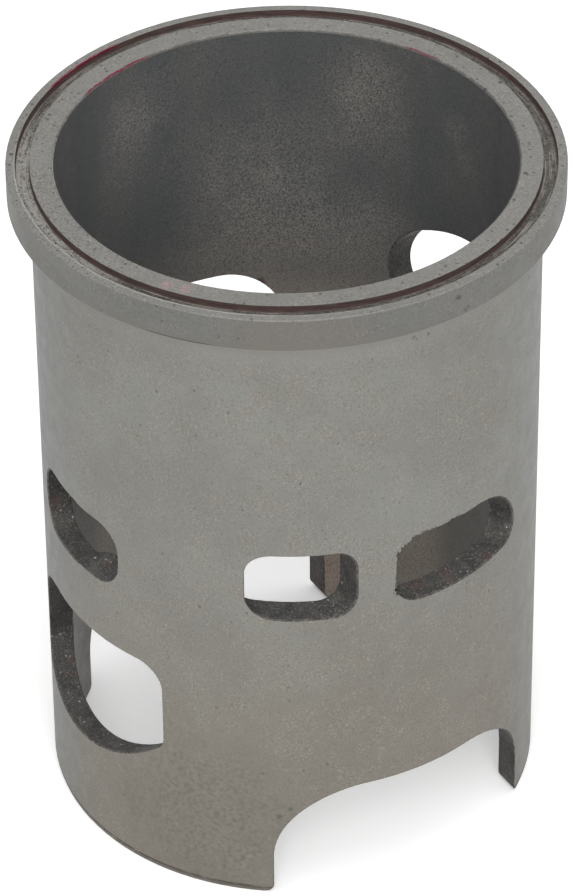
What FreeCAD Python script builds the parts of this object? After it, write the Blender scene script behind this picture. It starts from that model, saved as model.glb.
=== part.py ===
# Ported cylinder liner of a two-stroke engine: one turned and machined iron sleeve.
# Millimetres, +Z up, origin on the bore axis at the foot of the skirt.
# The exhaust window faces +X, and the boost and intake windows face -X.
# The XZ plane is the plane of symmetry, so the transfer windows are mirrored about it.
import FreeCAD, Part
import math
import os

import Sketcher

# Driving dimensions, in millimetres and degrees.
# A window's roof is a depth below the top face, as ports are dimensioned, and its height runs down from it.
# Its sides are measured from the plane through the bore axis that it faces.
SIZES = {
    "Barrel": {
        "bore_diameter": 66.4,
        "wall_thickness": 3.55,
        "flange_thickness": 5.0,
        "skirt_below_intake": 16.5,
    },
    "Edge breaks": {
        "bore_mouth_chamfer": 0.3,
        "flange_rim_chamfer": 0.15,
        "skirt_chamfer_width": 0.2,
        "skirt_chamfer_height": 0.7,
        "bore_foot_chamfer": 0.5,
        "window_edge_break": 0.2,
    },
    "Top face and its seal groove": {
        "land_width": 3.35,
        "groove_width": 2.1,
        "rim_width": 1.35,
        "groove_depth": 1.1,
        "groove_root_radius": 0.3,
    },
    "Exhaust window": {
        "exhaust_facing": 0.0,
        "exhaust_roof": 28.8,
        "exhaust_crown_height": 10.9,
        "exhaust_bowl_height": 15.7,
        "exhaust_width": 35.0,
        "exhaust_side_radius": 9.0,
    },
    "Boost window": {
        "boost_facing": 180.0,
        "boost_roof": 46.6,
        "boost_height": 11.1,
        "boost_width": 20.9,
        "boost_roof_radius": 4.2,
        "boost_floor_radius": 5.0,
    },
    "Intake window": {
        "intake_facing": 180.0,
        "intake_roof": 68.5,
        "intake_height": 22.5,
        "intake_width": 34.2,
        "intake_roof_radius": 4.1,
        "intake_far_roof_radius": 11.0,
        "intake_floor_radius": 25.0,
        "intake_floor_offset": 1.4,
        "intake_corner_radius": 2.0,
    },
    "Main transfer window": {
        "main_facing": -77.5,
        "main_aim": -46.0,
        "main_roof": 44.3,
        "main_height": 11.6,
        "main_boost_side": 9.4,
        "main_roof_flat_end": 3.2,
        "main_roof_radius": 4.0,
        "main_floor_radius": 3.1,
        "main_nose_radius": 11.6,
        "main_nose_corner_radius": 3.0,
    },
    "Auxiliary transfer window": {
        "auxiliary_facing": -118.5,
        "auxiliary_aim": -81.0,
        "auxiliary_roof": 44.2,
        "auxiliary_height": 11.4,
        "auxiliary_boost_side": 5.8,
        "auxiliary_exhaust_side": 10.2,
        "auxiliary_roof_radius": 3.5,
        "auxiliary_floor_radius": 3.8,
    },
    "Transfer passages": {
        "passage_rise": 9.5,
        "cutter_runout": 2.0,
    },
    "Skirt arches": {
        "arch_height": 19.9,
        "arch_width": 42.5,
        "arch_radius": 13.0,
        "arch_foot_radius": 1.4,
    },
}

BORE = "dims.bore_diameter / 2"
BODY = BORE + " + dims.wall_thickness"
GROOVE_INSIDE = BORE + " + dims.land_width"
GROOVE_OUTSIDE = GROOVE_INSIDE + " + dims.groove_width"
FLANGE = GROOVE_OUTSIDE + " + dims.rim_width"
TOP_FACE = "dims.intake_roof + dims.intake_height + dims.skirt_below_intake"
# The turned profiles are drawn at this bearing, where no window or arch breaks the wall
PROFILE_FACING = "45"

START, END, CENTRE = range(1, 4)
ORIGIN = (-1, 1)
UP_AXIS = -2
SKETCH_UP = FreeCAD.Vector(0, 1, 0)
SKETCH_NORMAL = FreeCAD.Vector(0, 0, 1)
RIGHT, TOP, LEFT, BOTTOM, FULL_TURN = 0.0, 90.0, 180.0, 270.0, 360.0
LENGTH_TOLERANCE = 1e-3
EDGE_SAMPLES = 7

doc = FreeCAD.newDocument("cylinder_liner")
sheet = doc.addObject("Spreadsheet::Sheet", "dims")
body = doc.addObject("PartDesign::Body", "liner_body")
body.Label = "cylinder_liner"
planes = {feature.Role: feature for feature in body.Origin.OriginFeatures}


def fill_sheet():
    """One row for each driving dimension, with its name as the alias of its cell."""
    row = 1
    for heading, cells in SIZES.items():
        sheet.set("A%d" % row, heading)
        row += 1
        for alias, number in cells.items():
            sheet.set("A%d" % row, alias)
            sheet.set("B%d" % row, str(number))
            sheet.setAlias("B%d" % row, alias)
            row += 1
    doc.recompute()


def value_of(formula):
    """The number that a formula of the sheet's cells gives."""
    return float(sheet.evalExpression(formula))


def below_top(*depths):
    """The formula for the height above the skirt's foot of a place this far below the top face."""
    return TOP_FACE + "".join(" - dims." + depth for depth in depths)


# Sketches
def new_sketch(name, plane, facing=None, standoff=None):
    """A sketch on a plane of the body, turned about the bore axis and moved out along its own normal."""
    sketch = body.newObject("Sketcher::SketchObject", name)
    sketch.AttachmentSupport = [(planes[plane], "")]
    sketch.MapMode = "FlatFace"
    if facing:
        turn = FreeCAD.Rotation(SKETCH_UP, value_of(facing))
        sketch.AttachmentOffset = FreeCAD.Placement(FreeCAD.Vector(), turn)
        sketch.setExpression("AttachmentOffset.Rotation.Angle", facing)
    if standoff:
        sketch.setExpression("AttachmentOffset.Base.x", "(%s) * sin(%s)" % (standoff, facing))
        sketch.setExpression("AttachmentOffset.Base.z", "(%s) * cos(%s)" % (standoff, facing))
    return sketch


def line(first, last):
    return Part.LineSegment(FreeCAD.Vector(*first), FreeCAD.Vector(*last))


def arc(centre, radius, first_angle, last_angle):
    """An arc that runs anticlockwise from one angle to the other, in degrees."""
    circle = Part.Circle(FreeCAD.Vector(*centre), SKETCH_NORMAL, radius)
    return Part.ArcOfCircle(circle, math.radians(first_angle), math.radians(last_angle))


def angle_from(centre, place):
    return math.degrees(math.atan2(place[1] - centre[1], place[0] - centre[0])) % FULL_TURN


def smooth_loop(sketch, pieces):
    """Add the pieces of a closed outline, listed anticlockwise, each tangent to the next."""
    indices = sketch.addGeometry(pieces, False)
    for index, following in zip(indices, indices[1:] + indices[:1]):
        sketch.addConstraint(Sketcher.Constraint("Tangent", index, END, following, START))
    return indices


def dimension(sketch, name, kind, where, formula):
    """A driving constraint bound to the sheet."""
    index = sketch.addConstraint(Sketcher.Constraint(kind, *where, value_of(formula)))
    sketch.renameConstraint(index, name)
    sketch.setExpression("Constraints." + name, formula)


def align(sketch, kind, *indices):
    for index in indices:
        sketch.addConstraint(Sketcher.Constraint(kind, index))


def round_pair(sketch, name, pair, formula):
    """Two arcs of one radius."""
    sketch.addConstraint(Sketcher.Constraint("Equal", *pair))
    dimension(sketch, name, "Radius", pair[:1], formula)


def draw_profile(sketch, corners):
    """A closed outline of straight lines whose corners are (across, up) formulas from the origin."""
    places = [(value_of(across), value_of(up)) for across, up in corners]
    lines = [line(first, last) for first, last in zip(places, places[1:] + places[:1])]
    indices = sketch.addGeometry(lines, False)
    for index, following in zip(indices, indices[1:] + indices[:1]):
        sketch.addConstraint(Sketcher.Constraint("Coincident", index, END, following, START))
    for number, (index, (across, up)) in enumerate(zip(indices, corners)):
        dimension(sketch, "across_%d" % number, "DistanceX", ORIGIN + (index, START), across)
        dimension(sketch, "up_%d" % number, "DistanceY", ORIGIN + (index, START), up)


def draw_rounded_window(sketch, left, right, roof, floor, roof_radius, floor_radius):
    """A rectangle with one radius at both roof corners and one at both floor corners."""
    a, b, top, foot = -value_of(left), value_of(right), value_of(roof), value_of(floor)
    upper, lower = value_of(roof_radius), value_of(floor_radius)
    sill, sill_right, right_jamb, roof_right, lintel, roof_left, left_jamb, sill_left = smooth_loop(
        sketch,
        [
            line((a + lower, foot), (b - lower, foot)),
            arc((b - lower, foot + lower), lower, BOTTOM, FULL_TURN),
            line((b, foot + lower), (b, top - upper)),
            arc((b - upper, top - upper), upper, RIGHT, TOP),
            line((b - upper, top), (a + upper, top)),
            arc((a + upper, top - upper), upper, TOP, LEFT),
            line((a, top - upper), (a, foot + lower)),
            arc((a + lower, foot + lower), lower, LEFT, BOTTOM),
        ],
    )
    align(sketch, "Horizontal", sill, lintel)
    align(sketch, "Vertical", left_jamb, right_jamb)
    round_pair(sketch, "roof_radius", (roof_left, roof_right), roof_radius)
    round_pair(sketch, "floor_radius", (sill_left, sill_right), floor_radius)
    dimension(sketch, "left_side", "DistanceX", (left_jamb, START) + ORIGIN, left)
    dimension(sketch, "right_side", "DistanceX", ORIGIN + (right_jamb, START), right)
    dimension(sketch, "roof", "DistanceY", ORIGIN + (lintel, START), roof)
    dimension(sketch, "floor", "DistanceY", ORIGIN + (sill, START), floor)


def draw_exhaust(sketch):
    """An upright oval of four arcs: a broad roof, two tight sides and a rounder floor."""
    reach = "dims.exhaust_width / 2 - dims.exhaust_side_radius"
    roof_height = below_top("exhaust_roof")
    widest_height = below_top("exhaust_roof", "exhaust_crown_height")
    floor_height = below_top("exhaust_roof", "exhaust_crown_height", "exhaust_bowl_height")
    side, across, level = value_of("dims.exhaust_side_radius"), value_of(reach), value_of(widest_height)
    crown, foot = value_of(roof_height), value_of(floor_height)

    def long_radius(rise):
        return (across**2 + rise**2 - side**2) / (2 * (rise - side))

    roof_radius, floor_radius = long_radius(crown - level), long_radius(level - foot)
    roof_centre, floor_centre = (0, crown - roof_radius), (0, foot + floor_radius)
    right_centre, left_centre = (across, level), (-across, level)
    upper_right = angle_from(roof_centre, right_centre)
    upper_left = angle_from(roof_centre, left_centre)
    lower_left = angle_from(floor_centre, left_centre)
    lower_right = angle_from(floor_centre, right_centre)
    right_side, roof, left_side, floor = smooth_loop(
        sketch,
        [
            arc(right_centre, side, lower_right - FULL_TURN, upper_right),
            arc(roof_centre, roof_radius, upper_right, upper_left),
            arc(left_centre, side, upper_left, lower_left),
            arc(floor_centre, floor_radius, lower_left, lower_right),
        ],
    )
    round_pair(sketch, "side_radius", (right_side, left_side), "dims.exhaust_side_radius")
    for name, index, ends in (
        ("right", right_side, ORIGIN + (right_side, CENTRE)),
        ("left", left_side, (left_side, CENTRE) + ORIGIN),
    ):
        dimension(sketch, name + "_reach", "DistanceX", ends, reach)
        dimension(sketch, name + "_level", "DistanceY", ORIGIN + (index, CENTRE), widest_height)
    for name, index, height in (("roof", roof, roof_height), ("floor", floor, floor_height)):
        mark = sketch.addGeometry(Part.Point(FreeCAD.Vector(0, value_of(height), 0)), True)
        sketch.addConstraint(Sketcher.Constraint("PointOnObject", mark, START, UP_AXIS))
        sketch.addConstraint(Sketcher.Constraint("PointOnObject", mark, START, index))
        dimension(sketch, name + "_height", "DistanceY", ORIGIN + (mark, START), height)


def draw_intake(sketch):
    """A window with one generous roof corner, upright sides and a floor that bellies down to one side."""
    half_width = "dims.intake_width / 2"
    roof_height, floor_height = below_top("intake_roof"), below_top("intake_roof", "intake_height")
    reach, top, foot = value_of(half_width), value_of(roof_height), value_of(floor_height)
    upper, far_upper = value_of("dims.intake_roof_radius"), value_of("dims.intake_far_roof_radius")
    corner = value_of("dims.intake_corner_radius")
    floor_radius, offset = value_of("dims.intake_floor_radius"), value_of("dims.intake_floor_offset")
    floor_centre = (-offset, foot + floor_radius)

    def corner_centre(across):
        drop = math.sqrt((floor_radius - corner) ** 2 - (across - floor_centre[0]) ** 2)
        return (across, floor_centre[1] - drop)

    right_centre, left_centre = corner_centre(reach - corner), corner_centre(corner - reach)
    right_angle, left_angle = angle_from(floor_centre, right_centre), angle_from(floor_centre, left_centre)
    floor, floor_right, right_jamb, roof_right, lintel, roof_left, left_jamb, floor_left = smooth_loop(
        sketch,
        [
            arc(floor_centre, floor_radius, left_angle, right_angle),
            arc(right_centre, corner, right_angle, FULL_TURN),
            line((reach, right_centre[1]), (reach, top - upper)),
            arc((reach - upper, top - upper), upper, RIGHT, TOP),
            line((reach - upper, top), (far_upper - reach, top)),
            arc((far_upper - reach, top - far_upper), far_upper, TOP, LEFT),
            line((-reach, top - far_upper), (-reach, left_centre[1])),
            arc(left_centre, corner, LEFT, left_angle),
        ],
    )
    align(sketch, "Horizontal", lintel)
    align(sketch, "Vertical", left_jamb, right_jamb)
    dimension(sketch, "roof_radius", "Radius", (roof_right,), "dims.intake_roof_radius")
    dimension(sketch, "far_roof_radius", "Radius", (roof_left,), "dims.intake_far_roof_radius")
    round_pair(sketch, "corner_radius", (floor_left, floor_right), "dims.intake_corner_radius")
    dimension(sketch, "floor_radius", "Radius", (floor,), "dims.intake_floor_radius")
    dimension(sketch, "floor_offset", "DistanceX", (floor, CENTRE) + ORIGIN, "dims.intake_floor_offset")
    floor_centre_height = floor_height + " + dims.intake_floor_radius"
    dimension(sketch, "floor_height", "DistanceY", ORIGIN + (floor, CENTRE), floor_centre_height)
    dimension(sketch, "left_side", "DistanceX", (left_jamb, START) + ORIGIN, half_width)
    dimension(sketch, "right_side", "DistanceX", ORIGIN + (right_jamb, START), half_width)
    dimension(sketch, "roof", "DistanceY", ORIGIN + (lintel, START), roof_height)


def draw_main_transfer(sketch):
    """A window whose exhaust end is a long nose: the roof sweeps down to a small corner at the sill."""
    side, flat_end = value_of("dims.main_boost_side"), value_of("dims.main_roof_flat_end")
    roof_height, floor_height = below_top("main_roof"), below_top("main_roof", "main_height")
    top, foot = value_of(roof_height), value_of(floor_height)
    upper, lower = value_of("dims.main_roof_radius"), value_of("dims.main_floor_radius")
    nose, corner = value_of("dims.main_nose_radius"), value_of("dims.main_nose_corner_radius")
    nose_centre = (flat_end, top - nose)
    level = foot + corner
    corner_centre = (flat_end + math.sqrt((nose - corner) ** 2 - (level - nose_centre[1]) ** 2), level)
    meeting = angle_from(nose_centre, corner_centre)
    sill, nose_corner, nose_arc, lintel, roof_left, left_jamb, sill_left = smooth_loop(
        sketch,
        [
            line((lower - side, foot), (corner_centre[0], foot)),
            arc(corner_centre, corner, BOTTOM, meeting + FULL_TURN),
            arc(nose_centre, nose, meeting, TOP),
            line((flat_end, top), (upper - side, top)),
            arc((upper - side, top - upper), upper, TOP, LEFT),
            line((-side, top - upper), (-side, foot + lower)),
            arc((lower - side, foot + lower), lower, LEFT, BOTTOM),
        ],
    )
    align(sketch, "Horizontal", sill, lintel)
    align(sketch, "Vertical", left_jamb)
    dimension(sketch, "roof_radius", "Radius", (roof_left,), "dims.main_roof_radius")
    dimension(sketch, "floor_radius", "Radius", (sill_left,), "dims.main_floor_radius")
    dimension(sketch, "nose_radius", "Radius", (nose_arc,), "dims.main_nose_radius")
    dimension(sketch, "nose_corner_radius", "Radius", (nose_corner,), "dims.main_nose_corner_radius")
    dimension(sketch, "boost_side", "DistanceX", (left_jamb, START) + ORIGIN, "dims.main_boost_side")
    dimension(sketch, "roof_flat_end", "DistanceX", ORIGIN + (lintel, START), "dims.main_roof_flat_end")
    dimension(sketch, "roof", "DistanceY", ORIGIN + (lintel, START), roof_height)
    dimension(sketch, "floor", "DistanceY", ORIGIN + (sill, START), floor_height)


def draw_arch(sketch):
    """An arch whose upright sides flare out through a round to the skirt's foot."""
    half_width = "dims.arch_width / 2"
    reach, crown = value_of(half_width), value_of("dims.arch_height")
    radius, foot_radius = value_of("dims.arch_radius"), value_of("dims.arch_foot_radius")
    runout, spread = value_of("dims.cutter_runout"), reach + foot_radius
    below, right_drop, right_foot, right_jamb, right_shoulder, lintel, left_shoulder, left_jamb, left_foot, left_drop = (
        sketch.addGeometry(
            [
                line((-spread, -runout), (spread, -runout)),
                line((spread, -runout), (spread, 0)),
                arc((spread, foot_radius), foot_radius, LEFT, BOTTOM),
                line((reach, foot_radius), (reach, crown - radius)),
                arc((reach - radius, crown - radius), radius, RIGHT, TOP),
                line((reach - radius, crown), (radius - reach, crown)),
                arc((radius - reach, crown - radius), radius, TOP, LEFT),
                line((-reach, crown - radius), (-reach, foot_radius)),
                arc((-spread, foot_radius), foot_radius, BOTTOM, FULL_TURN),
                line((-spread, 0), (-spread, -runout)),
            ],
            False,
        )
    )
    for kind, first, first_end, second, second_end in (
        ("Coincident", below, END, right_drop, START),
        ("Coincident", right_drop, END, right_foot, END),
        ("Tangent", right_foot, START, right_jamb, START),
        ("Tangent", right_jamb, END, right_shoulder, START),
        ("Tangent", right_shoulder, END, lintel, START),
        ("Tangent", lintel, END, left_shoulder, START),
        ("Tangent", left_shoulder, END, left_jamb, START),
        ("Tangent", left_jamb, END, left_foot, END),
        ("Coincident", left_foot, START, left_drop, START),
        ("Coincident", left_drop, END, below, START),
    ):
        sketch.addConstraint(Sketcher.Constraint(kind, first, first_end, second, second_end))
    align(sketch, "Horizontal", below, lintel)
    align(sketch, "Vertical", left_jamb, right_jamb, left_drop, right_drop)
    round_pair(sketch, "shoulder_radius", (right_shoulder, left_shoulder), "dims.arch_radius")
    round_pair(sketch, "foot_radius", (right_foot, left_foot), "dims.arch_foot_radius")
    dimension(sketch, "left_side", "DistanceX", (left_jamb, START) + ORIGIN, half_width)
    dimension(sketch, "right_side", "DistanceX", ORIGIN + (right_jamb, START), half_width)
    dimension(sketch, "roof", "DistanceY", ORIGIN + (lintel, START), "dims.arch_height")
    dimension(sketch, "runout", "DistanceY", (below, START) + ORIGIN, "dims.cutter_runout")
    dimension(sketch, "right_spread", "DistanceX", ORIGIN + (right_drop, END), half_width + " + dims.arch_foot_radius")
    dimension(sketch, "left_spread", "DistanceX", (left_drop, START) + ORIGIN, half_width + " + dims.arch_foot_radius")


# Turned features
def circular_edge(feature, radius, height):
    """The name of the full circle of this radius at this height."""
    for number, edge in enumerate(feature.Shape.Edges, start=1):
        curve = edge.Curve
        if not isinstance(curve, Part.Circle):
            continue
        if abs(curve.Radius - radius) + abs(curve.Center.z - height) < LENGTH_TOLERANCE:
            return "Edge%d" % number
    raise RuntimeError("no edge of radius %.2f at height %.2f" % (radius, height))


def revolve(kind, name, sketch):
    """A full turn of a profile about the bore axis."""
    feature = body.newObject(kind, name)
    feature.Profile = sketch
    feature.ReferenceAxis = (sketch, ["V_Axis"])
    feature.Angle = FULL_TURN
    doc.recompute()
    return feature


def dress(kind, name, base, size_property, alias, edges):
    """A fillet or chamfer on circular edges, given as (radius, height) formulas."""
    feature = body.newObject(kind, name)
    names = [circular_edge(base, value_of(radius), value_of(height)) for radius, height in edges]
    feature.Base = (base, names)
    feature.setExpression(size_property, "dims." + alias)
    doc.recompute()
    return feature


def turn_barrel():
    """The plain sleeve with its flange."""
    seat = below_top("flange_thickness")
    sketch = new_sketch("barrel_profile", "XZ_Plane", PROFILE_FACING)
    draw_profile(sketch, [(BORE, "0"), (BODY, "0"), (BODY, seat), (FLANGE, seat), (FLANGE, TOP_FACE), (BORE, TOP_FACE)])
    return revolve("PartDesign::Revolution", "barrel", sketch)


def turn_seal_groove():
    """The ring groove in the top face, with small radii at the feet of its walls."""
    floor, above = below_top("groove_depth"), TOP_FACE + " + dims.cutter_runout"
    sketch = new_sketch("seal_groove_profile", "XZ_Plane", PROFILE_FACING)
    places = [(GROOVE_INSIDE, floor), (GROOVE_OUTSIDE, floor), (GROOVE_OUTSIDE, above), (GROOVE_INSIDE, above)]
    draw_profile(sketch, places)
    groove = revolve("PartDesign::Groove", "seal_groove", sketch)
    roots = [(GROOVE_INSIDE, floor), (GROOVE_OUTSIDE, floor)]
    return dress("PartDesign::Fillet", "seal_groove_roots", groove, "Radius", "groove_root_radius", roots)


def break_edges(feature):
    """The chamfers at the bore's mouth, the flange's rim and the foot of the skirt."""
    chamfer = "PartDesign::Chamfer"
    feature = dress(chamfer, "bore_mouth", feature, "Size", "bore_mouth_chamfer", [(BORE, TOP_FACE)])
    feature = dress(chamfer, "flange_rim", feature, "Size", "flange_rim_chamfer", [(FLANGE, TOP_FACE)])
    feature = dress(chamfer, "bore_foot", feature, "Size", "bore_foot_chamfer", [(BORE, "0")])
    feature = dress(chamfer, "skirt_foot", feature, "Size", "skirt_chamfer_width", [(BODY, "0")])
    feature.ChamferType = "Two distances"
    feature.setExpression("Size2", "dims.skirt_chamfer_height")
    doc.recompute()


# Windows
def cut(name, sketch, length):
    """A straight cut of this length from the sketch, out along its normal."""
    pocket = body.newObject("PartDesign::Pocket", name)
    pocket.Profile = sketch
    pocket.Type = "Length"
    pocket.Reversed = True
    pocket.setExpression("Length", length)
    return pocket


def cut_exhaust():
    sketch = new_sketch("exhaust_outline", "YZ_Plane", "dims.exhaust_facing")
    draw_exhaust(sketch)
    cut("exhaust_window", sketch, FLANGE)


def cut_boost():
    sketch = new_sketch("boost_outline", "YZ_Plane", "dims.boost_facing")
    side = "dims.boost_width / 2"
    roof, floor = below_top("boost_roof"), below_top("boost_roof", "boost_height")
    draw_rounded_window(sketch, side, side, roof, floor, "dims.boost_roof_radius", "dims.boost_floor_radius")
    cut("boost_window", sketch, FLANGE)


def cut_intake():
    sketch = new_sketch("intake_outline", "YZ_Plane", "dims.intake_facing")
    draw_intake(sketch)
    cut("intake_window", sketch, FLANGE)


def cut_passage(name, sketch, aim):
    """A slanted cut from a sketch outside the wall, rising towards the bore."""
    pocket = body.newObject("PartDesign::Pocket", name)
    pocket.Profile = sketch
    pocket.Type = "Length"
    pocket.setExpression("Length", "dims.wall_thickness * 3")
    pocket.UseCustomVector = True
    pocket.AlongSketchNormal = True
    pocket.setExpression("Direction.x", "-cos(%s) * cos(dims.passage_rise)" % aim)
    pocket.setExpression("Direction.y", "-sin(%s) * cos(dims.passage_rise)" % aim)
    pocket.setExpression("Direction.z", "sin(dims.passage_rise)")
    return pocket


def cut_transfers():
    """The two transfer windows of one side, mirrored to the other."""
    standoff = BODY + " + dims.cutter_runout"
    main_sketch = new_sketch("main_transfer_outline", "YZ_Plane", "dims.main_facing", standoff)
    draw_main_transfer(main_sketch)
    main = cut_passage("main_transfer_window", main_sketch, "dims.main_aim")
    auxiliary_sketch = new_sketch("auxiliary_outline", "YZ_Plane", "dims.auxiliary_facing", standoff)
    draw_rounded_window(
        auxiliary_sketch,
        "dims.auxiliary_boost_side",
        "dims.auxiliary_exhaust_side",
        below_top("auxiliary_roof"),
        below_top("auxiliary_roof", "auxiliary_height"),
        "dims.auxiliary_roof_radius",
        "dims.auxiliary_floor_radius",
    )
    auxiliary = cut_passage("auxiliary_window", auxiliary_sketch, "dims.auxiliary_aim")
    doc.recompute()
    mirror = body.newObject("PartDesign::Mirrored", "mirrored_transfers")
    mirror.Originals = [main, auxiliary]
    mirror.MirrorPlane = (planes["XZ_Plane"], [""])
    body.Tip = mirror
    doc.recompute()


def cut_arches():
    """One cut through both walls leaves the two arches of the skirt."""
    sketch = new_sketch("arch_outline", "XZ_Plane")
    draw_arch(sketch)
    pocket = cut("skirt_arches", sketch, "2 * (%s)" % FLANGE)
    pocket.SideType = "Symmetric"
    doc.recompute()
    return pocket


def lies_on(edge, radius):
    """Whether a cut's edge runs along this wall, between the turned edges of the foot and the flange."""
    if isinstance(edge.Curve, Part.Line):
        return False
    foot, seat = value_of("dims.skirt_chamfer_height"), value_of(below_top("flange_thickness"))
    places = edge.discretize(Number=EDGE_SAMPLES)
    on_wall = all(abs(math.hypot(place.x, place.y) - radius) < LENGTH_TOLERANCE for place in places)
    return on_wall and any(foot + LENGTH_TOLERANCE < place.z < seat - LENGTH_TOLERANCE for place in places)


def break_window_edges(name, base, wall):
    """A fine chamfer on every window and arch edge of one wall surface."""
    radius = value_of(wall)
    edges = ["Edge%d" % number for number, edge in enumerate(base.Shape.Edges, start=1) if lies_on(edge, radius)]
    chamfer = body.newObject("PartDesign::Chamfer", name)
    chamfer.Base = (base, edges)
    chamfer.setExpression("Size", "dims.window_edge_break")
    doc.recompute()
    return chamfer


# Checks and export
def check_document():
    """Every object is up to date, and every cut takes material away."""
    for item in doc.Objects:
        if "Invalid" in item.State or "Error" in item.State:
            raise RuntimeError("%s failed: %s" % (item.Name, item.State))
    for feature in body.Group:
        base = getattr(feature, "BaseFeature", None)
        if base is None or feature.Shape.isNull():
            continue
        removed = base.Shape.Volume - feature.Shape.Volume
        print("%-24s removes %9.2f cubic mm" % (feature.Name, removed))
        if feature.TypeId == "PartDesign::Pocket" and removed <= 0:
            raise RuntimeError(feature.Name + " cuts nothing")


def export_part():
    shape = body.Shape
    if shape.isNull() or not shape.isValid() or len(shape.Solids) != 1:
        raise RuntimeError("the liner is not one valid solid")
    box = shape.BoundBox
    print("box %.3f x %.3f x %.3f, volume %.1f" % (box.XLength, box.YLength, box.ZLength, shape.Volume))
    os.makedirs("parts", exist_ok=True)
    shape.exportStep(os.path.join("parts", body.Label + ".step"))


fill_sheet()
turn_barrel()
break_edges(turn_seal_groove())
cut_exhaust()
cut_boost()
cut_intake()
cut_transfers()
outer_edges = break_window_edges("outer_window_edges", cut_arches(), BODY)
break_window_edges("bore_window_edges", outer_edges, BORE)
check_document()
export_part()
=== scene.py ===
import math

import bmesh
import bpy
from mathutils import Matrix, Vector, noise


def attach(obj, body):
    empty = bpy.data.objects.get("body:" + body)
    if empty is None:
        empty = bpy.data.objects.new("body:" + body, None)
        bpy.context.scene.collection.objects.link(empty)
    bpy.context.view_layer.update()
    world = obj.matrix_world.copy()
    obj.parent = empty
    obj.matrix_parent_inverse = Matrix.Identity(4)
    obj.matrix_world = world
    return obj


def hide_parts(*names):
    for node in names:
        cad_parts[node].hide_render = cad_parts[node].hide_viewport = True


# Turned sizes of the liner that the finishes follow
BORE = 0.0332
BODY = 0.03675
GROOVE = 0.03865
RIM = 0.040
TOP = 0.1075
SEAT = 0.1025
GROOVE_FLOOR = 0.1064
LIP = 0.00022
SOFT = 0.00006

# Where the camera stands, from the perspective of the photograph
CAMERA_DISTANCE = 0.60908
CAMERA_HEIGHT = 0.51919
CAMERA_BEARING = math.radians(-120.8)
CAMERA_YAW = -0.00077
CAMERA_PITCH = 0.65085
CAMERA_ROLL = 0.0114
LENS_PIXELS = 5162.0
FRAME_PIXELS = 896.0
SENSOR = 36.0
NEAREST_SEEN = 0.05
FARTHEST_SEEN = 100.0

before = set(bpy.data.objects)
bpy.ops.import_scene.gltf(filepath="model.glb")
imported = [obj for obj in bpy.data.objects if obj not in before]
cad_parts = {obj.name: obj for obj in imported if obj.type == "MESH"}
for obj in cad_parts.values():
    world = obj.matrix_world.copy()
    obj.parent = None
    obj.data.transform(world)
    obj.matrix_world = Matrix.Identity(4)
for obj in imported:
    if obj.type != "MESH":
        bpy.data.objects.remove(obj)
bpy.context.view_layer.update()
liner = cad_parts["cylinder_liner"]


def srgb(red, green, blue):
    """A display colour, 0 to 255, as the linear colour that a shader takes."""
    channels = []
    for value in (red, green, blue):
        value /= 255.0
        channels.append(value / 12.92 if value <= 0.04045 else ((value + 0.055) / 1.055) ** 2.4)
    return (*channels, 1.0)


class Nodes:
    """Short calls for building one node tree."""

    def __init__(self, tree):
        self.tree = tree
        self.column = 0

    def add(self, kind, **settings):
        node = self.tree.nodes.new(kind)
        self.column += 1
        node.location = (self.column % 24 * 180, -(self.column // 24) * 260)
        for name, value in settings.items():
            setattr(node, name, value)
        return node

    def put(self, socket, value):
        if isinstance(value, bpy.types.NodeSocket):
            self.tree.links.new(value, socket)
        else:
            socket.default_value = value

    def math(self, operation, first, second=0.0):
        node = self.add("ShaderNodeMath", operation=operation)
        for socket, value in zip(node.inputs, (first, second)):
            self.put(socket, value)
        return node.outputs[0]

    def times(self, first, second):
        return self.math("MULTIPLY", first, second)

    def smooth(self, value, low, high):
        """0 below low and 1 above high, with a soft step between."""
        node = self.add("ShaderNodeMapRange", interpolation_type="SMOOTHSTEP")
        self.put(node.inputs["Value"], value)
        node.inputs["From Min"].default_value = low
        node.inputs["From Max"].default_value = high
        return node.outputs["Result"]

    def remap(self, value, low, high, new_low, new_high):
        node = self.add("ShaderNodeMapRange")
        self.put(node.inputs["Value"], value)
        node.inputs["From Min"].default_value = low
        node.inputs["From Max"].default_value = high
        node.inputs["To Min"].default_value = new_low
        node.inputs["To Max"].default_value = new_high
        return node.outputs["Result"]

    def window(self, value, low, high, soft):
        """1 between low and high."""
        rise = self.smooth(value, low - soft, low + soft)
        fall = self.smooth(value, high + soft, high - soft)
        return self.times(rise, fall)

    def vector(self, x, y, z):
        node = self.add("ShaderNodeCombineXYZ")
        for socket, value in zip(node.inputs, (x, y, z)):
            self.put(socket, value)
        return node.outputs[0]

    def noise(self, place, scale, detail=3.0, rough=0.55, warp=0.0):
        node = self.add("ShaderNodeTexNoise")
        self.put(node.inputs["Vector"], place)
        node.inputs["Scale"].default_value = scale
        node.inputs["Detail"].default_value = detail
        node.inputs["Roughness"].default_value = rough
        node.inputs["Distortion"].default_value = warp
        return node.outputs["Fac"]

    def cells(self, place, scale):
        """The distance to the nearest of many scattered points, and that point's own colour."""
        node = self.add("ShaderNodeTexVoronoi")
        self.put(node.inputs["Vector"], place)
        node.inputs["Scale"].default_value = scale
        return node.outputs["Distance"], node.outputs["Color"]

    def mix(self, factor, first, second):
        node = self.add("ShaderNodeMix", data_type="RGBA")
        self.put(node.inputs["Factor"], factor)
        self.put(node.inputs["A"], first)
        self.put(node.inputs["B"], second)
        return node.outputs["Result"]

    def bump(self, height, strength, distance, normal=None):
        node = self.add("ShaderNodeBump")
        node.inputs["Strength"].default_value = strength
        node.inputs["Distance"].default_value = distance
        self.put(node.inputs["Height"], height)
        if normal is not None:
            self.put(node.inputs["Normal"], normal)
        return node.outputs["Normal"]


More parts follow.
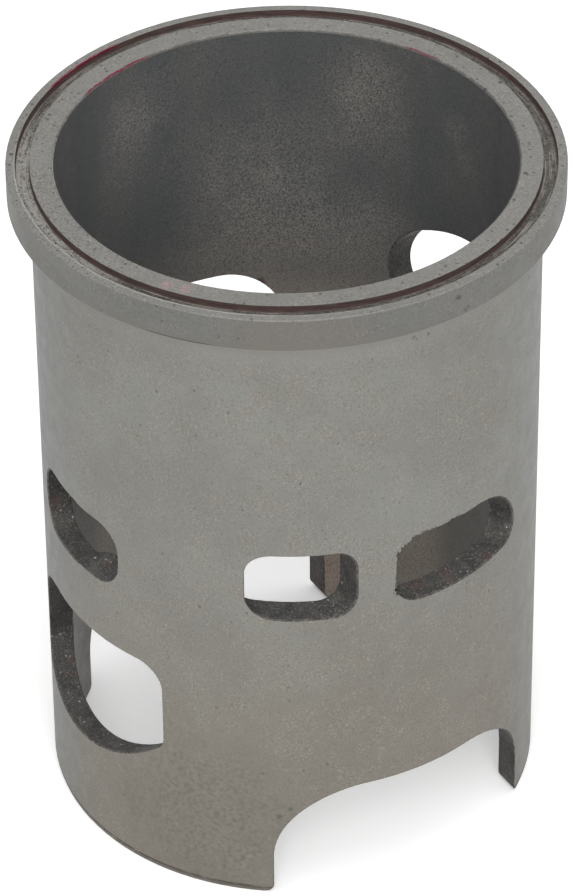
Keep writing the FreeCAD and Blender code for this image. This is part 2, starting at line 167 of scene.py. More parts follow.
def place_and_angle(n):
    """Object coordinates, and each point's distance from the bore axis, bearing and height."""
    place = n.add("ShaderNodeTexCoord").outputs["Object"]
    parts = n.add("ShaderNodeSeparateXYZ")
    n.put(parts.inputs[0], place)
    x, y, z = parts.outputs
    radius = n.math("SQRT", n.math("ADD", n.times(x, x), n.times(y, y)))
    return place, radius, n.math("ARCTAN2", y, x), z


def stretched(n, radius_at, bearing, height, along):
    """A sheet unrolled from the wall, squeezed along the bore."""
    return n.vector(n.times(bearing, radius_at), n.times(height, along), 0.0)


def spot(n, place, centre, inner, outer, wobble):
    """1 inside a soft, uneven blot around a point of the surface."""
    node = n.add("ShaderNodeVectorMath", operation="DISTANCE")
    n.put(node.inputs[0], place)
    node.inputs[1].default_value = centre
    uneven = n.times(n.math("SUBTRACT", wobble, 0.5), outer)
    distance = n.math("ADD", node.outputs["Value"], uneven)
    return n.smooth(distance, outer, inner)


def on_wall(radius, degrees, height):
    """A point of a turned wall, in metres."""
    bearing = math.radians(degrees)
    return (radius * math.cos(bearing), radius * math.sin(bearing), height)


def new_material(name, metallic, roughness_of, colour_of, bump_of):
    material = bpy.data.materials.new(name)
    material.use_nodes = True
    tree = material.node_tree
    tree.nodes.clear()
    n = Nodes(tree)
    shader = n.add("ShaderNodeBsdfPrincipled")
    output = n.add("ShaderNodeOutputMaterial")
    tree.links.new(shader.outputs[0], output.inputs["Surface"])
    shader.inputs["Metallic"].default_value = metallic
    shader.inputs["Specular IOR Level"].default_value = GLOSS
    place, radius, bearing, height = place_and_angle(n)
    where = {"place": place, "radius": radius, "bearing": bearing, "height": height}
    n.put(shader.inputs["Base Color"], colour_of(n, where))
    n.put(shader.inputs["Roughness"], roughness_of(n, where))
    n.put(shader.inputs["Normal"], bump_of(n, where))
    return material


# Dull iron: only a little of it shines as bare metal does
IRON = 0.15
GLOSS = 0.2
TRACE_RED = srgb(112, 22, 50)
TRACE_START = 99.0
TRACE_END = 121.0
LINE_BROWN = srgb(66, 61, 56)

# Turning marks, in waves over a length, and the slope of the honing strokes
LAND_RINGS = 42000.0
GROOVE_RINGS = 30000.0
HONING_SLOPE = 1.24


def roughness_between(low, high, scale=500, detail=4):
    """An uneven gloss, as a function of the surface for new_material."""

    def roughness(n, w):
        return n.remap(n.noise(w["place"], scale, detail, 0.6), 0.3, 0.7, low, high)

    return roughness


# Ground outside wall
def iron_grain(n, place, base, light, dark, warm, fleck):
    """Cast-iron mottle: soft clouds, dark grains, and pale flecks where the clouds are pale."""
    cloud = n.noise(place, 62, 4, 0.6, 0.3)
    patch = n.noise(place, 240, 4, 0.66, 0.5)
    fine = n.noise(place, 3000, 2, 0.8)
    colour = n.mix(n.smooth(cloud, 0.38, 0.64), base, light)
    colour = n.mix(n.times(n.smooth(patch, 0.46, 0.66), 0.45), colour, warm)
    colour = n.mix(n.times(n.smooth(fine, 0.47, 0.29), 0.8), colour, dark)
    return n.mix(n.times(n.smooth(fine, 0.53, 0.71), n.smooth(patch, 0.34, 0.60)), colour, fleck)


def pores(n, place, scale, size, share):
    """Small dark open pores of the iron, only some of the cells having one."""
    distance, tint = n.cells(place, scale)
    parts = n.add("ShaderNodeSeparateColor")
    n.put(parts.inputs[0], tint)
    chosen = n.math("LESS_THAN", parts.outputs[0], share)
    reach = n.remap(parts.outputs[1], 0.0, 1.0, size * 0.45, size)
    return n.times(n.math("LESS_THAN", distance, reach), chosen)


def body_colour(n, w):
    place, bearing, height = w["place"], w["bearing"], w["height"]
    # brown film low on the skirt, and a band of painted light under the flange that offsets the
    # flange's shade
    film = n.noise(place, 130, 5, 0.68, 0.8)
    low = n.times(n.smooth(height, 0.070, 0.016), n.smooth(film, 0.16, 0.46))
    base = n.mix(low, srgb(120, 119, 114), srgb(117, 112, 103))
    light = n.mix(low, srgb(126, 126, 121), srgb(120, 115, 106))
    colour = iron_grain(
        n,
        place,
        base=base,
        light=light,
        dark=srgb(100, 98, 93),
        warm=srgb(123, 118, 108),
        fleck=srgb(143, 142, 134),
    )
    dust = n.times(spot(n, place, on_wall(BODY, -143, 0.014), 0.006, 0.021, film), 0.95)
    speck = n.noise(place, 1500, 4, 0.75)
    colour = n.mix(n.times(dust, n.smooth(speck, 0.42, 0.66)), colour, srgb(102, 97, 89))
    # painted light: the wall is made lighter just under the flange, against the flange's shade
    colour = n.mix(n.smooth(height, 0.0950, 0.1030), colour, srgb(138, 137, 132))
    # dark broken line just above the foot, where the lead-in ring starts
    broken = n.smooth(n.noise(stretched(n, BODY, bearing, height, 3.0), 420, 4, 0.7), 0.36, 0.50)
    ring = n.times(n.window(height, 0.00070, 0.00115, 0.00008), broken)
    colour = n.mix(n.times(ring, 0.85), colour, LINE_BROWN)
    # upright machining bands, and painted shade with a bluish reflection at either side of the wall as
    # the camera sees it
    band = n.noise(stretched(n, BODY, bearing, height, 0.05), 150, 2, 0.5)
    for degrees, reach, strength in ((-203, 0.010, 0.5), (-40, 0.009, 0.4)):
        half_turn = n.times(n.math("SUBTRACT", bearing, math.radians(degrees)), 0.5)
        away = n.math("ABSOLUTE", n.math("SINE", half_turn))
        painted_side_shade = n.smooth(away, reach / BODY, reach / BODY * 0.15)
        colour = n.mix(n.times(painted_side_shade, strength), colour, srgb(114, 118, 120))
    colour = n.mix(n.times(n.smooth(band, 0.4, 0.7), 0.08), colour, srgb(128, 130, 129))
    # open pores, and the dark marks seen on this part
    colour = n.mix(n.times(pores(n, place, 620, 0.15, 0.14), 0.6), colour, srgb(82, 79, 74))
    colour = n.mix(n.times(pores(n, place, 230, 0.060, 0.14), 0.6), colour, srgb(68, 65, 60))
    for degrees, level, size in MARKS:
        ragged = n.noise(place, 1400, 3, 0.7)
        mark = spot(n, place, on_wall(BODY, degrees, level), size * 0.2, size, ragged)
        colour = n.mix(n.times(mark, 0.6), colour, srgb(74, 72, 68))
    return colour


# bearing, height, size
MARKS = (
    (-89.0, 0.0987, 0.0004),
    (-92.6, 0.0990, 0.0005),
    (-92.0, 0.0985, 0.0003),
    (-174.8, 0.0885, 0.0004),
    (-174.1, 0.0876, 0.0004),
    (-155.6, 0.0827, 0.0003),
    (-124.0, 0.0150, 0.0007),
    (-121.5, 0.0165, 0.0005),
)


body_roughness = roughness_between(0.46, 0.62, scale=400)


def body_bump(n, w):
    turned = n.noise(stretched(n, BODY, w["bearing"], w["height"], 26.0), 260, 2, 0.6)
    normal = n.bump(n.noise(w["place"], 1300, 4, 0.7), 0.22, 0.00012)
    normal = n.bump(turned, 0.10, 0.00008, normal)
    return n.bump(n.math("SUBTRACT", 1.0, pores(n, w["place"], 620, 0.15, 0.14)), 0.35, 0.00010, normal)


# Flange: side, top land and rim
def flange_colour(n, w):
    place = w["place"]
    colour = iron_grain(
        n,
        place,
        base=srgb(103, 103, 100),
        light=srgb(109, 109, 106),
        dark=srgb(86, 85, 81),
        warm=srgb(109, 106, 100),
        fleck=srgb(126, 125, 120),
    )
    stain = n.noise(place, 180, 4, 0.7, 0.6)
    low = n.smooth(w["height"], 0.1045, 0.1025)
    colour = n.mix(n.times(low, n.smooth(stain, 0.35, 0.6)), colour, srgb(106, 103, 98))
    speckle = n.noise(place, 1500, 3, 0.7)
    for degrees, level, size in FLANGE_MARKS:
        smudge = spot(n, place, on_wall(RIM, degrees, level), size * 0.3, size, speckle)
        colour = n.mix(n.times(smudge, 0.55), colour, srgb(62, 60, 57))
    brown = n.times(spot(n, place, on_wall(RIM, -119.0, 0.1040), 0.004, 0.014, stain), 0.45)
    colour = n.mix(brown, colour, srgb(108, 102, 95))
    seam = n.window(w["bearing"], math.radians(-150.0), math.radians(-136.5), math.radians(1.5))
    seam = n.times(seam, n.smooth(w["height"], SEAT + 0.00022, SEAT + 0.00008))
    colour = n.mix(n.times(seam, 0.75), colour, srgb(52, 50, 47))
    return n.mix(n.times(pores(n, w["place"], 420, 0.15, 0.2), 0.65), colour, srgb(68, 65, 61))


# bearing, height, size
FLANGE_MARKS = (
    (-85.1, 0.1057, 0.0006),
    (-84.6, 0.1055, 0.0004),
    (-83.1, 0.1031, 0.0005),
    (-82.4, 0.1034, 0.0004),
    (-147.6, 0.1071, 0.0003),
    (-146.4, 0.1049, 0.0003),
    (-134.5, 0.1042, 0.0003),
    (-144.2, 0.1068, 0.0002),
)


def face_colour(n, w):
    place, radius = w["place"], w["radius"]
    colour = iron_grain(
        n,
        place,
        base=srgb(118, 117, 113),
        light=srgb(124, 123, 120),
        dark=srgb(94, 92, 88),
        warm=srgb(125, 121, 114),
        fleck=srgb(146, 145, 140),
    )
    colour = n.mix(n.times(pores(n, place, 1100, 0.30, 0.35), 0.75), colour, srgb(74, 71, 67))
    colour = n.mix(n.times(pores(n, place, 420, 0.15, 0.25), 0.75), colour, srgb(64, 60, 56))
    wobble = n.noise(place, 600, 3, 0.6)
    chatter = n.times(n.math("SUBTRACT", wobble, 0.5), 0.0006)
    mouth = n.smooth(n.math("ADD", radius, chatter), BORE + 0.00026, BORE + 0.00014)
    colour = n.mix(n.times(mouth, 0.6), colour, srgb(62, 58, 54))
    # painted highlight on the lips on the side by the boost window, and the pitted land there
    lip_highlight_spot = spot(n, place, on_wall(BORE, -166.0, TOP), 0.022, 0.036, wobble)
    groove_lip = n.window(n.math("ADD", radius, chatter), GROOVE, GROOVE + LIP, SOFT)
    painted_lip_highlight = n.math("ADD", mouth, groove_lip)
    colour = n.mix(n.times(n.times(painted_lip_highlight, lip_highlight_spot), 0.65), colour, srgb(164, 162, 158))
    pitted = spot(n, place, on_wall(0.0350, 176.0, TOP), 0.008, 0.024, wobble)
    pits = n.smooth(n.noise(place, 2400, 3, 0.8), 0.47, 0.37)
    colour = n.mix(n.times(n.times(pits, pitted), 0.8), colour, srgb(66, 62, 58))
    for first, last, inner, outer, strength in RED_TRACES:
        along = n.window(w["bearing"], math.radians(first), math.radians(last), math.radians(2.0))
        across = n.window(n.math("ADD", radius, chatter), inner, outer, SOFT)
        broken = n.times(n.smooth(n.noise(place, 900, 3, 0.7), 0.30, 0.48), strength)
        trace = n.times(n.times(along, across), broken)
        colour = n.mix(trace, colour, TRACE_RED)
    for degrees, reach in ((-149.0, 0.0353), (-144.5, 0.0352)):
        pink = spot(n, place, on_wall(reach, degrees, TOP), 0.0004, 0.0014, wobble)
        grains = n.times(n.smooth(n.noise(place, 2200, 2, 0.7), 0.42, 0.60), 0.45)
        colour = n.mix(n.times(pink, grains), colour, srgb(190, 130, 134))
    return colour


# first and last bearing, inner and outer radius, strength
RED_TRACES = (
    (TRACE_START, TRACE_END, GROOVE, GROOVE + LIP, 1.0),
    (97.0, 119.0, BORE + 0.00008, BORE + 0.00032, 0.9),
    (18.0, 27.0, BORE + 0.00010, BORE + 0.00035, 0.6),
)


face_roughness = roughness_between(0.42, 0.58)


def face_bump(n, w):
    lathe = n.math("SINE", n.times(w["radius"], LAND_RINGS))
    normal = n.bump(lathe, 0.04, 0.00004)
    normal = n.bump(n.noise(w["place"], 1500, 4, 0.7), 0.28, 0.00012, normal)
    return n.bump(n.math("SUBTRACT", 1.0, pores(n, w["place"], 640, 0.20, 0.35)), 0.4, 0.00012, normal)


# Seal groove
def groove_colour(n, w):
    place = w["place"]
    mottle = n.noise(place, 2100, 3, 0.8)
    open_side = spot(n, place, on_wall(0.0376, 165.0, GROOVE_FLOOR), 0.012, 0.026, 0.5)
    floor = n.mix(n.smooth(mottle, 0.40, 0.62), srgb(72, 69, 65), srgb(108, 105, 100))
    floor = n.mix(n.times(open_side, n.smooth(mottle, 0.32, 0.56)), floor, srgb(150, 148, 143))
    floor = n.mix(n.times(pores(n, place, 1300, 0.30, 0.5), 0.8), floor, srgb(56, 52, 48))
    turning = n.noise(n.vector(w["radius"], n.times(w["bearing"], 0.0012), 0.0), 3600, 2, 0.7)
    floor = n.mix(n.times(n.smooth(turning, 0.54, 0.64), 0.75), floor, srgb(148, 145, 139))
    floor = n.mix(n.times(n.smooth(turning, 0.44, 0.36), 0.6), floor, srgb(62, 54, 50))
    streak = n.noise(n.vector(n.times(w["bearing"], 0.004), w["height"], 0.0), 2600, 2, 0.7)
    wall = n.mix(n.smooth(streak, 0.36, 0.64), srgb(74, 62, 59), srgb(92, 76, 72))
    red = n.window(w["bearing"], math.radians(TRACE_START), math.radians(TRACE_END), math.radians(2.0))
    red = n.times(red, n.smooth(w["height"], TOP - 0.00045, TOP - 0.00030))
    wall = n.mix(n.times(red, 0.9), wall, TRACE_RED)
    return n.mix(n.smooth(w["height"], GROOVE_FLOOR + 0.00010, GROOVE_FLOOR + 0.00003), wall, floor)


groove_roughness = roughness_between(0.5, 0.7, scale=600, detail=3)


def groove_bump(n, w):
    rings = n.math("SINE", n.times(w["height"], GROOVE_RINGS))
    return n.bump(n.noise(w["place"], 1400, 4, 0.75), 0.5, 0.0002, n.bump(rings, 0.15, 0.00006))


# Honed bore
def bore_colour(n, w):
    place, bearing, height = w["place"], w["bearing"], w["height"]
    haze = n.noise(stretched(n, BORE, bearing, height, 0.42), 75, 4, 0.6, 0.4)
    band = n.noise(stretched(n, BORE, bearing, height, 0.06), 110, 2, 0.55)
    fine = n.noise(place, 3300, 2, 0.85)
    wobble = n.noise(place, 160, 4, 0.65)
    cool, warm = srgb(86, 88, 89), srgb(93, 93, 92)
    colour = n.mix(n.smooth(haze, 0.36, 0.66), cool, warm)
    colour = n.mix(n.times(n.smooth(band, 0.44, 0.62), 0.25), colour, srgb(97, 97, 95))
    colour = n.mix(n.times(n.smooth(height, 0.078, 0.060), 0.75), colour, srgb(119, 115, 110))
    # painted light on the lower far side of the bore: a lighter, warmer colour and brighter flecks
    # there
    lit_far_side = n.window(bearing, math.radians(15.0), math.radians(122.0), math.radians(6.0))
    low = n.times(n.smooth(height, 0.066, 0.056), lit_far_side)
    colour = n.mix(low, colour, srgb(142, 135, 126))
    colour = n.mix(n.times(n.smooth(fine, 0.47, 0.30), 0.7), colour, srgb(62, 63, 63))
    clear = n.remap(n.smooth(haze, 0.40, 0.62), 0.0, 1.0, 0.30, 0.70)
    fleck = n.mix(low, srgb(124, 122, 119), srgb(190, 180, 168))
    colour = n.mix(n.times(n.smooth(fine, 0.53, 0.70), clear), colour, fleck)
    for degrees, level, inner, outer, strength in HAZES:
        patch = spot(n, place, on_wall(BORE, degrees, level), inner, outer, wobble)
        amount = n.times(patch, n.smooth(fine, 0.40, 0.62))
        colour = n.mix(n.times(amount, strength), colour, srgb(146, 141, 135))
    worn = spot(n, place, on_wall(BORE, 47.0, 0.006), 0.003, 0.011, wobble)
    colour = n.mix(n.times(worn, n.remap(fine, 0.40, 0.60, 0.15, 0.80)), colour, srgb(180, 160, 150))
    rust = n.noise(place, 900, 3, 0.7)
    colour = n.mix(n.times(n.smooth(rust, 0.60, 0.74), 0.30), colour, srgb(124, 84, 72))
    hollow = spot(n, place, on_wall(BORE, 66.5, 0.0622), 0.0003, 0.0013, n.noise(place, 1500, 3, 0.8))
    return n.mix(n.times(hollow, 0.7), colour, srgb(70, 34, 34))


# bearing, height, radii of the full and the fading blot, strength
HAZES = (
    (101.0, 0.0990, 0.0002, 0.0090, 0.50),
    (104.0, 0.0930, 0.0002, 0.0090, 0.25),
    (39.0, 0.0985, 0.0004, 0.0095, 0.60),
    (38.0, 0.0920, 0.0004, 0.0090, 0.35),
    (60.0, 0.0860, 0.0004, 0.0140, 0.30),
    (78.0, 0.0860, 0.0004, 0.0120, 0.25),
    (68.0, 0.0725, 0.0004, 0.0160, 0.60),
    (43.0, 0.0725, 0.0004, 0.0140, 0.60),
    (10.5, 0.0975, 0.0001, 0.0040, 0.35),
    (7.0, 0.0925, 0.0001, 0.0040, 0.35),
)


bore_roughness = roughness_between(0.40, 0.56)


def bore_bump(n, w):
    crossed = []
    for slope in (HONING_SLOPE, -HONING_SLOPE):
        slant = n.math("ADD", n.times(w["bearing"], BORE), n.times(w["height"], slope))
        crossed.append(n.noise(n.vector(slant, n.times(w["height"], 0.04), 0.0), 5200, 1, 0.5))
    normal = n.bump(n.math("ADD", *crossed), 0.12, 0.00004)
    return n.bump(n.noise(w["place"], 1500, 4, 0.72), 0.30, 0.00012, normal)


# As-cast walls of the windows and arches
def cast_colour(n, w):
    place = w["place"]
    lump = n.noise(place, 420, 4, 0.7, 0.4)
    fine = n.noise(place, 3000, 3, 0.85)
    colour = n.mix(n.smooth(lump, 0.36, 0.66), srgb(60, 61, 61), srgb(82, 80, 77))
    colour = n.mix(n.times(n.smooth(fine, 0.46, 0.30), 0.6), colour, srgb(38, 37, 37))
    colour = n.mix(n.times(n.smooth(fine, 0.54, 0.68), 0.75), colour, srgb(146, 137, 128))
    tint = n.noise(place, 260, 3, 0.6)
    colour = n.mix(n.times(n.smooth(tint, 0.56, 0.72), 0.45), colour, srgb(98, 66, 60))
    # painted shade: the upright walls are darker than the sills, by which way they face, and carry
    # fewer painted glints
    facing_for_painted_shade = n.add("ShaderNodeSeparateXYZ")
    n.put(facing_for_painted_shade.inputs[0], n.add("ShaderNodeNewGeometry").outputs["Normal"])
    level = n.smooth(n.math("ABSOLUTE", facing_for_painted_shade.outputs[2]), 0.2, 0.6)
    colour = n.mix(n.remap(level, 0.0, 1.0, 0.40, 0.05), colour, srgb(44, 44, 44))
    lump = n.times(lump, n.remap(level, 0.0, 1.0, 0.85, 1.0))
    # painted glints: bright points scattered where the iron is lighter
    painted_glint = n.times(pores(n, place, 1500, 0.30, 0.30), n.smooth(lump, 0.42, 0.58))
    return n.mix(n.times(painted_glint, 0.7), colour, srgb(182, 176, 168))


cast_roughness = roughness_between(0.45, 0.68)


def cast_bump(n, w):
    coarse = n.bump(n.noise(w["place"], 420, 5, 0.72), 0.7, 0.0005)
    return n.bump(n.noise(w["place"], 1800, 3, 0.7), 0.6, 0.0002, coarse)


# Fine broken edges round the windows
def edge_colour(n, w):
    chatter = n.noise(w["place"], 1600, 4, 0.75)
    return n.mix(n.smooth(chatter, 0.40, 0.62), srgb(98, 94, 90), srgb(58, 51, 49))


def foot_colour(n, w):
    streak = n.noise(stretched(n, BODY, w["bearing"], w["height"], 6.0), 500, 4, 0.7)
    colour = n.mix(n.smooth(streak, 0.36, 0.64), srgb(122, 117, 108), srgb(88, 83, 77))
    line = n.smooth(w["height"], 0.00060, 0.00072)
    return n.mix(n.times(line, 0.85), colour, LINE_BROWN)


materials = [
    new_material("ground_wall", IRON, body_roughness, body_colour, body_bump),
    new_material("flange_side", IRON, body_roughness, flange_colour, body_bump),
    new_material("turned_face", IRON, face_roughness, face_colour, face_bump),
    new_material("seal_groove", IRON, groove_roughness, groove_colour, groove_bump),
    new_material("honed_bore", IRON, bore_roughness, bore_colour, bore_bump),
    new_material("cast_wall", IRON, cast_roughness, cast_colour, cast_bump),
    new_material("broken_edge", IRON, face_roughness, edge_colour, cast_bump),
    new_material("foot_edge", IRON, body_roughness, foot_colour, body_bump),
]
WALL, SIDE, FACE, SEAL, HONED, CAST, EDGE, FOOT = range(len(materials))


# The liner itself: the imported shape, welded, with its finishes by face and nibbled rims
WELD = 2e-6
SHARP_ANGLE = math.radians(24)

# Tolerances and widths that tell the faces apart
LEVEL_SLACK = 1e-4
FACE_SLACK = 2e-5
WALL_SLACK = 6e-5
UPRIGHT = 0.985
BROKEN_EDGE = 0.0005
EDGE_REACH = 0.0004
FOOT_BAND = 0.0009
FLANGE_EDGE = 0.0013

# Level cuts through the walls
LOWEST_CUT = 0.0021
HIGHEST_CUT = 0.082
CUT_STEP = 0.00147
CUT_MERGE = 1e-7
UP = (0, 0, 1)

# The raised inner corner of the boost window's sill: bearings in degrees, heights in metres
SILL_START = -179.5
SILL_END = -155.0
SILL_RAMP = 7.0
SILL_FOOT = 0.046
SILL_TOP = 0.056
SILL_DROP = 0.007
SILL_LIFT = 0.0031

# The nibbled rims
NIBBLE = 0.00022
MOST_CUTS = 60
NICK = 0.00012
NICK_GRAIN = 3300.0
TOOTH = 0.00042
TOOTH_GRAIN = 9000.0
TOOTHED_BEARINGS = (-100.0, -79.0)
TOOTHED_ABOVE = 0.054
BURR = 0.00022
BURR_RIPPLE = 0.00006
BURR_BEARINGS = (-178.0, -155.0)
BURR_ABOVE = 0.044


def finish_of(face, mesh):
    """Which material a face of the liner takes, from where it lies and which way it looks."""
    centre, normal = face.center, face.normal
    radius = math.hypot(centre.x, centre.y)
    outward = (centre.x * normal.x + centre.y * normal.y) / radius
    corners = [mesh.vertices[index].co for index in face.vertices]
    radii = [math.hypot(corner.x, corner.y) for corner in corners]
    heights = [corner.z for corner in corners]
    nearest, farthest, highest = min(radii), max(radii), max(heights)
    on_flange = nearest > BODY + LEVEL_SLACK or highest > TOP - FLANGE_EDGE
    if highest > SEAT + LEVEL_SLACK and on_flange:
        return flange_finish(radius, outward, normal, centre.z)
    if outward > UPRIGHT and nearest > BODY - WALL_SLACK:
        return WALL
    if outward < -UPRIGHT and farthest < BORE + WALL_SLACK:
        return HONED
    if highest < FOOT_BAND:
        return FOOT if outward > -0.5 else EDGE
    by_a_rim = nearest > BODY - EDGE_REACH or farthest < BORE + EDGE_REACH
    if farthest - nearest < BROKEN_EDGE and by_a_rim:
        return EDGE
    return CAST


def flange_finish(radius, outward, normal, height):
    """The materials of the flange and the top face, by radius."""
    if outward < -0.95 and radius < BORE + EDGE_REACH:
        return HONED
    if height > TOP - 0.0003 and normal.z > 0.3:
        return FACE
    in_groove = BODY - EDGE_REACH < radius < GROOVE + LEVEL_SLACK
    if in_groove and GROOVE_FLOOR - 2 * LEVEL_SLACK < height < TOP - FACE_SLACK:
        return SEAL
    return SIDE


def slice_walls(shape):
    """Level cuts through the walls beside the windows, so that no facet is long and thin."""
    height = LOWEST_CUT
    while height < HIGHEST_CUT:
        everything = [*shape.verts, *shape.edges, *shape.faces]
        level = (0, 0, height)
        bmesh.ops.bisect_plane(shape, geom=everything, plane_co=level, plane_no=UP, dist=CUT_MERGE)
        height += CUT_STEP


def raise_boost_sill(shape):
    """Lifts the inner corner of the boost window's sill, at the end by the auxiliary window."""
    for vertex in shape.verts:
        if not {CAST, EDGE} & {face.material_index for face in vertex.link_faces}:
            continue
        place = vertex.co
        bearing = math.degrees(math.atan2(place.y, place.x))
        if not SILL_START < bearing < SILL_END or not SILL_FOOT < place.z < SILL_TOP:
            continue
        inward = min((BODY - math.hypot(place.x, place.y)) / (BODY - BORE), 1.0)
        along = min((bearing - SILL_START) / SILL_RAMP, 1.0)
        down = min((SILL_TOP - place.z) / SILL_DROP, 1.0)
        place.z += SILL_LIFT * inward * along * down


def is_rim(edge):
    """Whether an edge parts the ground wall from a window's broken edge."""
    return {face.material_index for face in edge.link_faces} == {WALL, EDGE}


def chatter_edges(shape):
    """The outer rims of the windows, nibbled by the cutter: small bites into the ground wall."""
    cuts = {}
    for edge in shape.edges:
        if not is_rim(edge):
            continue
        number = min(int(edge.calc_length() / NIBBLE), MOST_CUTS)
        cuts.setdefault(number, []).append(edge)
    for number, edges in cuts.items():
        if number:
            bmesh.ops.subdivide_edges(shape, edges=edges, cuts=number)
    shape.normal_update()
    moves = {}
    for edge in shape.edges:
        if not is_rim(edge):
            continue
        wall = next(face for face in edge.link_faces if face.material_index == WALL)
        loop = next(corner for corner in wall.loops if corner.edge == edge)
        along = loop.link_loop_next.vert.co - loop.vert.co
        inward = wall.normal.cross(along).normalized()
        for vertex in edge.verts:
            moves[vertex] = moves.get(vertex, Vector()) + inward
    for vertex, way in moves.items():
        place = vertex.co
        vertex.co = place + way.normalized() * bite_at(place)


def bite_at(place):
    """How far a rim stands off its true line, into the wall: teeth, a burr, or fine nicks."""
    bearing = math.degrees(math.atan2(place.y, place.x))
    roughness = noise.noise(place * NICK_GRAIN)
    if TOOTHED_BEARINGS[0] < bearing < TOOTHED_BEARINGS[1] and place.z > TOOTHED_ABOVE:
        return max(0.0, noise.cell(place * TOOTH_GRAIN)) * TOOTH
    if BURR_BEARINGS[0] < bearing < BURR_BEARINGS[1] and place.z > BURR_ABOVE:
        return roughness * BURR_RIPPLE - BURR
    return max(0.0, roughness) * NICK


def round_the_turned_walls(mesh):
    """Normals square to the bore axis on every turned wall, so that its flat facets don't show."""
    normals = [Vector(corner.vector) for corner in mesh.corner_normals]
    for face in mesh.polygons:
        upright_side = face.material_index == SIDE and abs(face.normal.z) <= 0.1
        if face.material_index not in (WALL, HONED) and not upright_side:
            continue
        way = -1.0 if face.material_index == HONED else 1.0
        for corner in face.loop_indices:
            place = mesh.vertices[mesh.loops[corner].vertex_index].co
            normals[corner] = Vector((place.x, place.y, 0.0)).normalized() * way
    mesh.normals_split_custom_set(normals)


def build_liner():
    """The visible liner, in place of the plain packed one."""
    plain = liner.data
    mesh = bpy.data.meshes.new("cylinder_liner_surface")
    corners = [corner.co for corner in plain.vertices]
    mesh.from_pydata(corners, [], [face.vertices for face in plain.polygons])
    shape = bmesh.new()
    shape.from_mesh(mesh)
    bmesh.ops.remove_doubles(shape, verts=shape.verts, dist=WELD)
    bmesh.ops.recalc_face_normals(shape, faces=shape.faces)
    slice_walls(shape)
    shape.to_mesh(mesh)
    shape.free()
    for material in materials:
        mesh.materials.append(material)
    for face in mesh.polygons:
        face.material_index = finish_of(face, mesh)
    shape = bmesh.new()
    shape.from_mesh(mesh)
    raise_boost_sill(shape)
    chatter_edges(shape)
    many_sided = [face for face in shape.faces if len(face.verts) > 4]
    bmesh.ops.triangulate(shape, faces=many_sided)
    shape.to_mesh(mesh)
    shape.free()
    piece = bpy.data.objects.new("cylinder_liner_detailed", mesh)
    bpy.context.scene.collection.objects.link(piece)
    mesh.shade_smooth()
    mesh.set_sharp_from_angle(angle=SHARP_ANGLE)
    round_the_turned_walls(mesh)
    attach(piece, "root")
    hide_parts("cylinder_liner")


build_liner()


# Floor
FLOOR_REACH = 30.0
FLOOR_GLOW = 0.22
WHITE = (1.0, 1.0, 1.0, 1.0)


def looked_at(n):
    """1 for a ray that sees the backdrop, also mirrored, and 0 for one that lights the liner."""
    path = n.add("ShaderNodeLightPath")
    seen = n.math("MAXIMUM", path.outputs["Is Camera Ray"], path.outputs["Is Transmission Ray"])
    return n.math("MAXIMUM", seen, path.outputs["Is Glossy Ray"])


def build_floor():
    """A wide white floor that keeps only the liner's soft shadow."""
    reach = FLOOR_REACH
    corners = [(-reach, -reach, 0), (reach, -reach, 0), (reach, reach, 0), (-reach, reach, 0)]
    mesh = bpy.data.meshes.new("floor")
    mesh.from_pydata(corners, [], [(0, 1, 2, 3)])
    material = bpy.data.materials.new("floor_white")
    material.use_nodes = True
    shader = material.node_tree.nodes["Principled BSDF"]
    shader.inputs["Base Color"].default_value = srgb(250, 250, 250)
    shader.inputs["Roughness"].default_value = 0.9
    shader.inputs["Specular IOR Level"].default_value = 0.0
    shader.inputs["Emission Color"].default_value = WHITE
    n = Nodes(material.node_tree)
    n.put(shader.inputs["Emission Strength"], n.times(looked_at(n), FLOOR_GLOW))
    mesh.materials.append(material)
    floor = bpy.data.objects.new("floor", mesh)
    bpy.context.scene.collection.objects.link(floor)


build_floor()


# Light
WORLD_GLOW = 0.65


def build_world():
    """Plain white behind, and an even soft grey glow on the part."""
    world = bpy.data.worlds.new("studio")
    bpy.context.scene.world = world
    world.use_nodes = True
    tree = world.node_tree
    tree.nodes.clear()
    n = Nodes(tree)
    glow = n.add("ShaderNodeBackground")
    n.put(glow.inputs["Color"], WHITE)
    n.put(glow.inputs["Strength"], WORLD_GLOW)
    white = n.add("ShaderNodeBackground")
    n.put(white.inputs["Color"], WHITE)
    n.put(white.inputs["Strength"], 1.0)
    choice = n.add("ShaderNodeMixShader")
    n.put(choice.inputs[0], looked_at(n))
    tree.links.new(glow.outputs[0], choice.inputs[1])
    tree.links.new(white.outputs[0], choice.inputs[2])
    output = n.add("ShaderNodeOutputWorld")
    tree.links.new(choice.outputs[0], output.inputs["Surface"])


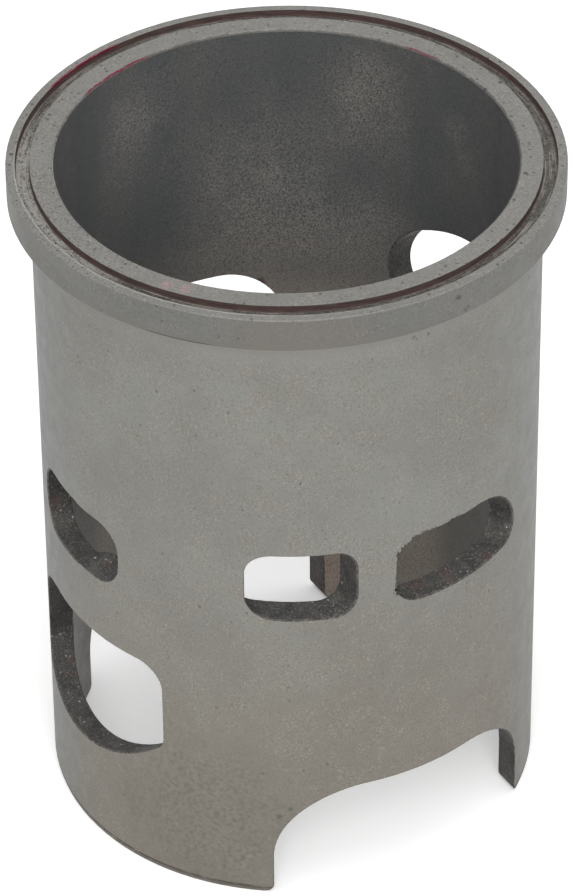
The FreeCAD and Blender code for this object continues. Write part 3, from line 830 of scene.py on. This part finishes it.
def soft_box(name, bearing, distance, height, size, energy, aim):
    """A square soft light that looks at a height of the bore axis."""
    lamp = bpy.data.lights.new(name, "AREA")
    lamp.shape = "SQUARE"
    lamp.size = size
    lamp.energy = energy
    holder = bpy.data.objects.new(name, lamp)
    angle = math.radians(bearing)
    place = Vector((distance * math.cos(angle), distance * math.sin(angle), height))
    holder.location = place
    look = Vector((0, 0, aim)) - place
    holder.rotation_euler = look.to_track_quat("-Z", "Y").to_euler()
    bpy.context.scene.collection.objects.link(holder)


build_world()
soft_box("front", bearing=-118.0, distance=1.15, height=0.95, size=0.8, energy=10.0, aim=0.05)
soft_box("overhead", bearing=-120.8, distance=0.2, height=1.4, size=1.2, energy=6.5, aim=0.0)


# Camera
def build_camera():
    """The fitted camera of the photograph."""
    camera = bpy.data.cameras.new("camera")
    camera.sensor_fit = "AUTO"
    camera.sensor_width = SENSOR
    camera.lens = LENS_PIXELS * SENSOR / FRAME_PIXELS
    camera.clip_start = NEAREST_SEEN
    camera.clip_end = FARTHEST_SEEN
    holder = bpy.data.objects.new("camera", camera)
    forward = Vector((
        math.sin(CAMERA_YAW) * math.cos(CAMERA_PITCH),
        math.cos(CAMERA_YAW) * math.cos(CAMERA_PITCH),
        -math.sin(CAMERA_PITCH),
    ))
    level = Vector((math.cos(CAMERA_YAW), -math.sin(CAMERA_YAW), 0.0))
    down = forward.cross(level)
    right = math.cos(CAMERA_ROLL) * level + math.sin(CAMERA_ROLL) * down
    up = math.sin(CAMERA_ROLL) * level - math.cos(CAMERA_ROLL) * down
    turn = Matrix.Rotation(CAMERA_BEARING + math.pi / 2, 3, "Z")
    axes = Matrix((turn @ right, turn @ up, turn @ -forward)).transposed().to_4x4()
    place = turn @ Vector((0.0, -CAMERA_DISTANCE, CAMERA_HEIGHT))
    holder.matrix_world = Matrix.Translation(place) @ axes
    bpy.context.scene.collection.objects.link(holder)
    bpy.context.scene.camera = holder


build_camera()
bpy.context.scene.view_settings.view_transform = "Standard"
